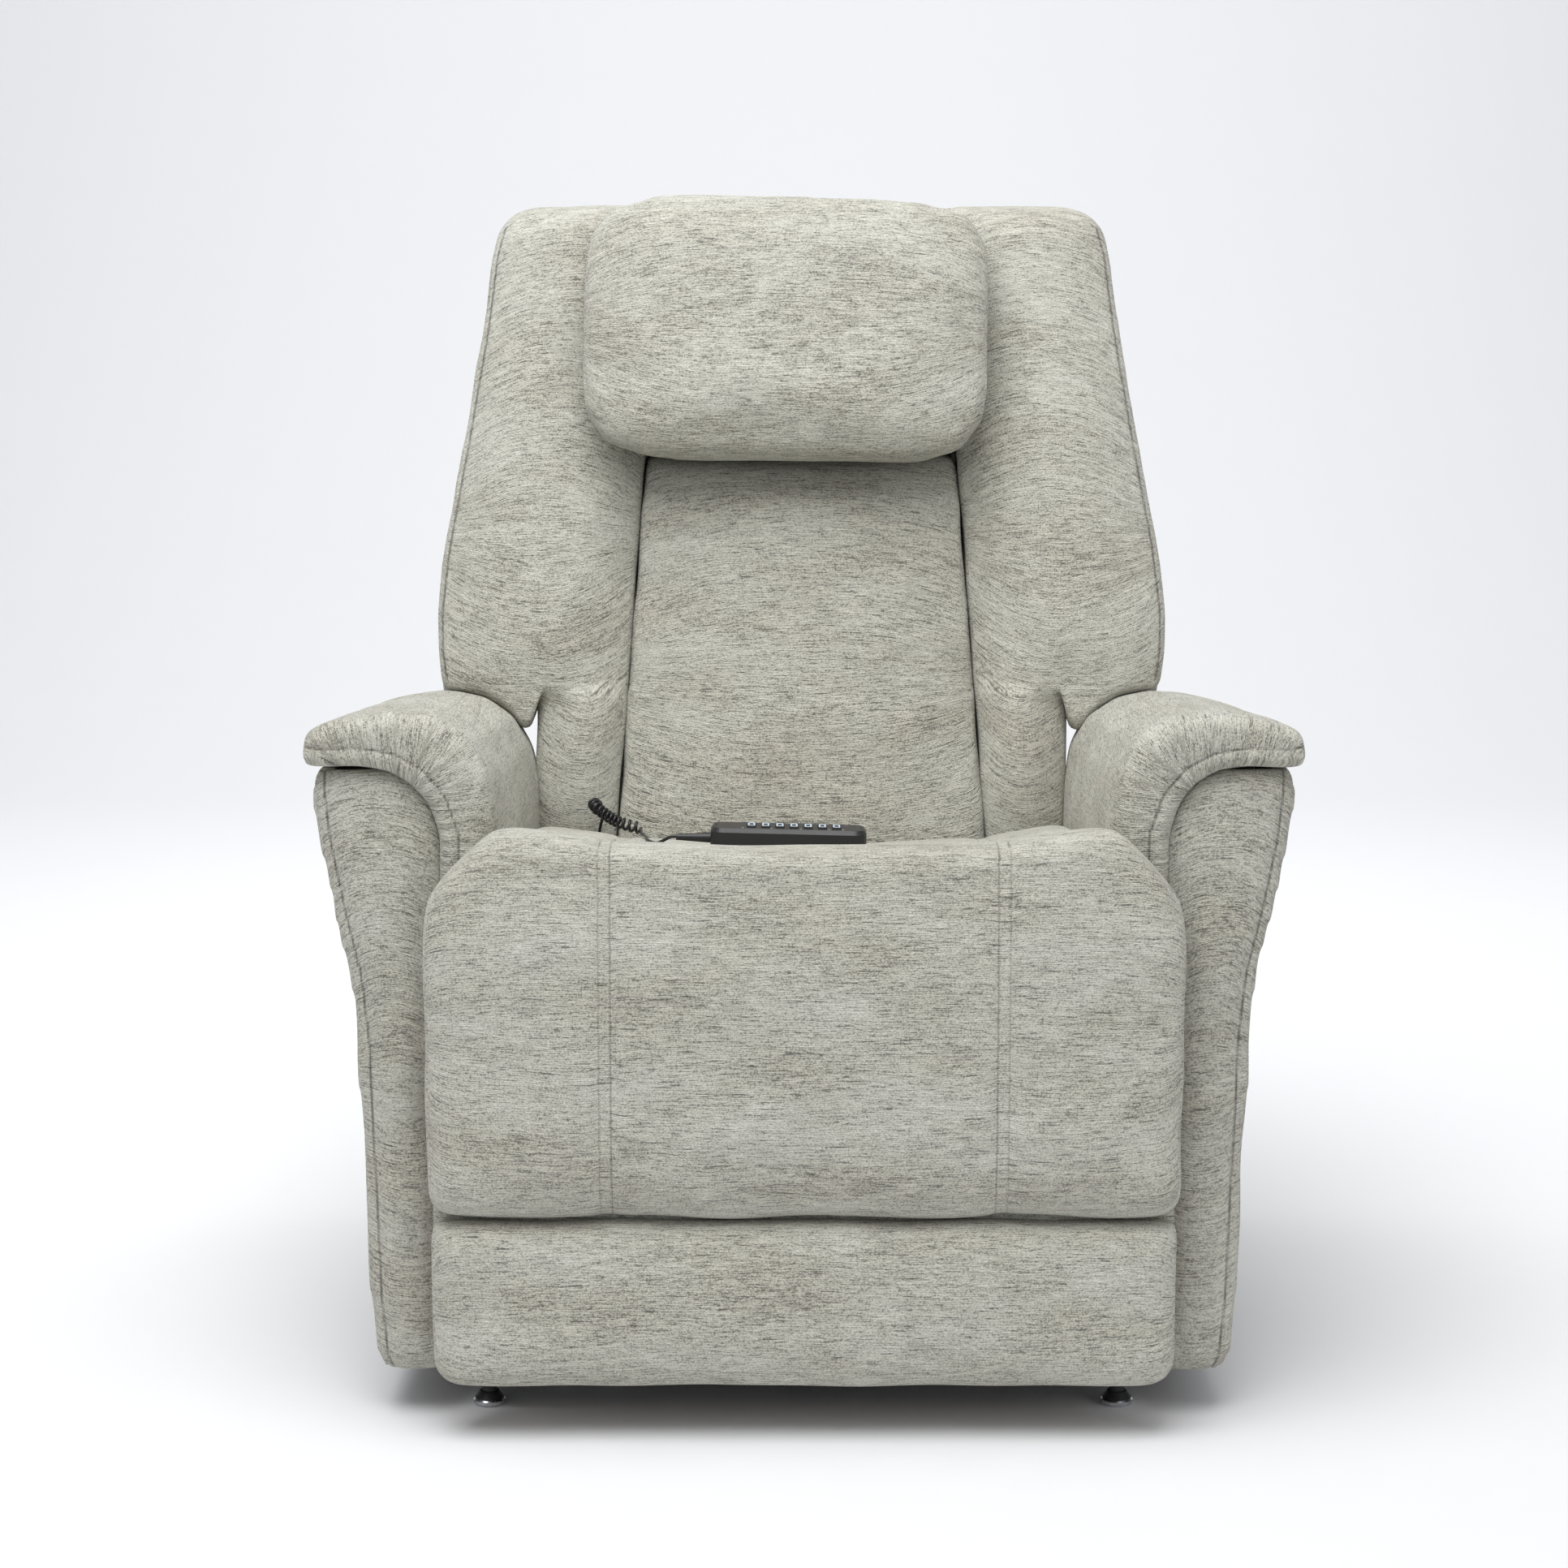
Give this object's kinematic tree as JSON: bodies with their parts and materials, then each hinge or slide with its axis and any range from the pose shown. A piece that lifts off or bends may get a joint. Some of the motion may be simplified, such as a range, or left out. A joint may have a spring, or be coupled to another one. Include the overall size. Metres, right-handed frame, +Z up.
{
  "type": "lift recliner chair",
  "caption": "power lift recliner with a padded wing back, head pillow, roll arms, continuous chaise seat and leg rest, corded handset and a steel lift base",
  "frame": {"origin": "on the floor, below the middle of the chair's bounding box", "axes": "X to the viewer's right across the chair, Y towards its back (it faces -Y), Z up"},
  "size_m": [0.91, 0.8827, 1.1247],
  "materials": {
    "upholstery": "warm grey chenille weave with slubs",
    "timber": "plain plywood and softwood",
    "dark_steel": "black powder coat",
    "zinc": "bright zinc plate",
    "black_plastic": "black, fine grain",
    "rubber": "black rubber",
    "cord_jacket": "black cord jacket",
    "key_caps": "charcoal key caps",
    "handset_face": "charcoal face"
  },
  "bodies": {
    "base": {"base_frame": "dark_steel", "glide_stems": "black_plastic", "glide_discs": "zinc", "stop_bumpers": "rubber", "base_pivot_bolts": "zinc", "power_supply": "black_plastic"},
    "lift_arms": {"lift_arms": "dark_steel", "lift_arm_bolts": "zinc"},
    "lift_rockers": {"lift_rockers": "dark_steel"},
    "lift_motor": {"lift_motor": "black_plastic"},
    "lift_rod": {"lift_motor_rod": "zinc"},
    "seat_frame": {"carriage_frame": "dark_steel", "rocker_studs": "zinc", "seat_box": "timber", "spring_bars": "dark_steel", "seat_springs": "zinc", "seat_cushion": "upholstery", "chaise_shoulders": "upholstery", "footrest_brackets": "dark_steel", "recline_brackets": "dark_steel", "arm_frame_left": "timber", "arm_frame_right": "timber", "arm_outer_left": "upholstery", "arm_outer_right": "upholstery", "arm_front_left": "upholstery", "arm_front_right": "upholstery", "arm_pad_left": "upholstery", "arm_pad_right": "upholstery", "rear_skirt": "upholstery", "control_box": "black_plastic", "handset_shell": "black_plastic", "handset_face": "handset_face", "handset_curly_cord": "cord_jacket", "handset_cord": "cord_jacket", "footrest_motor": "black_plastic"},
    "back": {"back_frame": "dark_steel", "back_springs": "zinc", "back_cushion": "upholstery", "back_top_cushion": "upholstery", "bolster_left": "upholstery", "bolster_right": "upholstery", "back_cover": "upholstery", "headrest_brackets": "dark_steel"},
    "recline_motor": {"recline_motor": "black_plastic"},
    "recline_rod": {"recline_motor_rod": "zinc"},
    "footrest": {"footrest_board": "timber", "footrest_hinges": "dark_steel", "chaise_pad": "upholstery", "footrest_lower_pad": "upholstery"},
    "footrest_rod": {"footrest_motor_rod": "zinc"},
    "headrest": {"headrest_frame": "dark_steel", "head_pillow": "upholstery"},
    "rocker_1": {"key_1": "key_caps"},
    "rocker_2": {"key_2": "key_caps"},
    "rocker_3": {"key_3": "key_caps"},
    "rocker_4": {"key_4": "key_caps"},
    "rocker_5": {"key_5": "key_caps"},
    "rocker_6": {"key_6": "key_caps"},
    "rocker_7": {"key_7": "key_caps"}
  },
  "joints": [
    {"name": "lift", "type": "hinge", "parent": "base", "child": "lift_arms", "pos_m": [0, -0.25, 0.146], "axis": [1, 0, 0], "range_deg": [0, 53]},
    {"name": "rocker_turn", "type": "hinge", "parent": "base", "child": "lift_rockers", "pos_m": [0, -0.33, 0.108], "axis": [1, 0, 0], "range_deg": [0, 65.7]},
    {"name": "carriage_tilt", "type": "hinge", "parent": "lift_arms", "child": "seat_frame", "pos_m": [0, 0.195, 0.152], "axis": [1, 0, 0], "range_deg": [-27, 0]},
    {"name": "lift_motor_turn", "type": "hinge", "parent": "base", "child": "lift_motor", "pos_m": [0, -0.275, 0.038], "axis": [1, 0, 0], "range_deg": [0, 39.78]},
    {"name": "lift_rod_travel", "type": "slide", "parent": "lift_motor", "child": "lift_rod", "axis": [0, 0.9953, 0.0965], "range_m": [0, 0.078]},
    {"name": "recline", "type": "hinge", "parent": "seat_frame", "child": "back", "pos_m": [0, 0.19, 0.4], "axis": [-1, 0, 0], "range_deg": [0, 50]},
    {"name": "recline_motor_turn", "type": "hinge", "parent": "seat_frame", "child": "recline_motor", "pos_m": [0, 0.1174, 0.33], "axis": [-1, 0, 0], "range_deg": [0, 25]},
    {"name": "recline_rod_travel", "type": "slide", "parent": "recline_motor", "child": "recline_rod", "axis": [0, -0.9955, -0.095], "range_m": [0, 0.0679]},
    {"name": "footrest", "type": "hinge", "parent": "seat_frame", "child": "footrest", "pos_m": [0, -0.385, 0.445], "axis": [-1, 0, 0], "range_deg": [0, 85]},
    {"name": "footrest_rod_travel", "type": "slide", "parent": "seat_frame", "child": "footrest_rod", "axis": [0, -0.9436, 0.331], "range_m": [0, 0.0603]},
    {"name": "headrest", "type": "hinge", "parent": "back", "child": "headrest", "pos_m": [0, 0.222, 0.864], "axis": [1, 0, 0], "range_deg": [0, 35]},
    {"name": "key_sit", "type": "hinge", "parent": "seat_frame", "child": "rocker_1", "pos_m": [-0.04904, -0.19932, 0.52475], "axis": [0.9997, 0, -0.0244], "range_deg": [-3, 3], "stiffness_Nm_per_rad": 0.08},
    {"name": "key_back", "type": "hinge", "parent": "seat_frame", "child": "rocker_2", "pos_m": [-0.03554, -0.19934, 0.52442], "axis": [0.9997, 0, -0.0244], "range_deg": [-3, 3], "stiffness_Nm_per_rad": 0.08},
    {"name": "key_legs", "type": "hinge", "parent": "seat_frame", "child": "rocker_3", "pos_m": [-0.02204, -0.19935, 0.52409], "axis": [0.9997, 0, -0.0244], "range_deg": [-3, 3], "stiffness_Nm_per_rad": 0.08},
    {"name": "key_all", "type": "hinge", "parent": "seat_frame", "child": "rocker_4", "pos_m": [-0.00855, -0.19936, 0.52376], "axis": [0.9997, 0, -0.0244], "range_deg": [-3, 3], "stiffness_Nm_per_rad": 0.08},
    {"name": "key_head", "type": "hinge", "parent": "seat_frame", "child": "rocker_5", "pos_m": [0.00495, -0.19937, 0.52343], "axis": [0.9997, 0, -0.0244], "range_deg": [-3, 3], "stiffness_Nm_per_rad": 0.08},
    {"name": "key_lumbar", "type": "hinge", "parent": "seat_frame", "child": "rocker_6", "pos_m": [0.01844, -0.19938, 0.5231], "axis": [0.9997, 0, -0.0244], "range_deg": [-3, 3], "stiffness_Nm_per_rad": 0.08},
    {"name": "key_lift", "type": "hinge", "parent": "seat_frame", "child": "rocker_7", "pos_m": [0.03194, -0.19939, 0.52277], "axis": [0.9997, 0, -0.0244], "range_deg": [-3, 3], "stiffness_Nm_per_rad": 0.08}
  ],
  "couplings": [
    {"joint": "rocker_turn", "follows": "lift", "ratio": 1.2396},
    {"joint": "carriage_tilt", "follows": "lift", "ratio": -0.50943},
    {"joint": "lift_motor_turn", "follows": "lift", "ratio": 0.7504},
    {"joint": "lift_rod_travel", "follows": "lift", "m_per_rad": 0.08431},
    {"joint": "recline_motor_turn", "follows": "recline", "ratio": 0.49981},
    {"joint": "recline_rod_travel", "follows": "recline", "m_per_rad": 0.077753},
    {"joint": "footrest_rod_travel", "follows": "footrest", "m_per_rad": 0.040602}
  ]
}
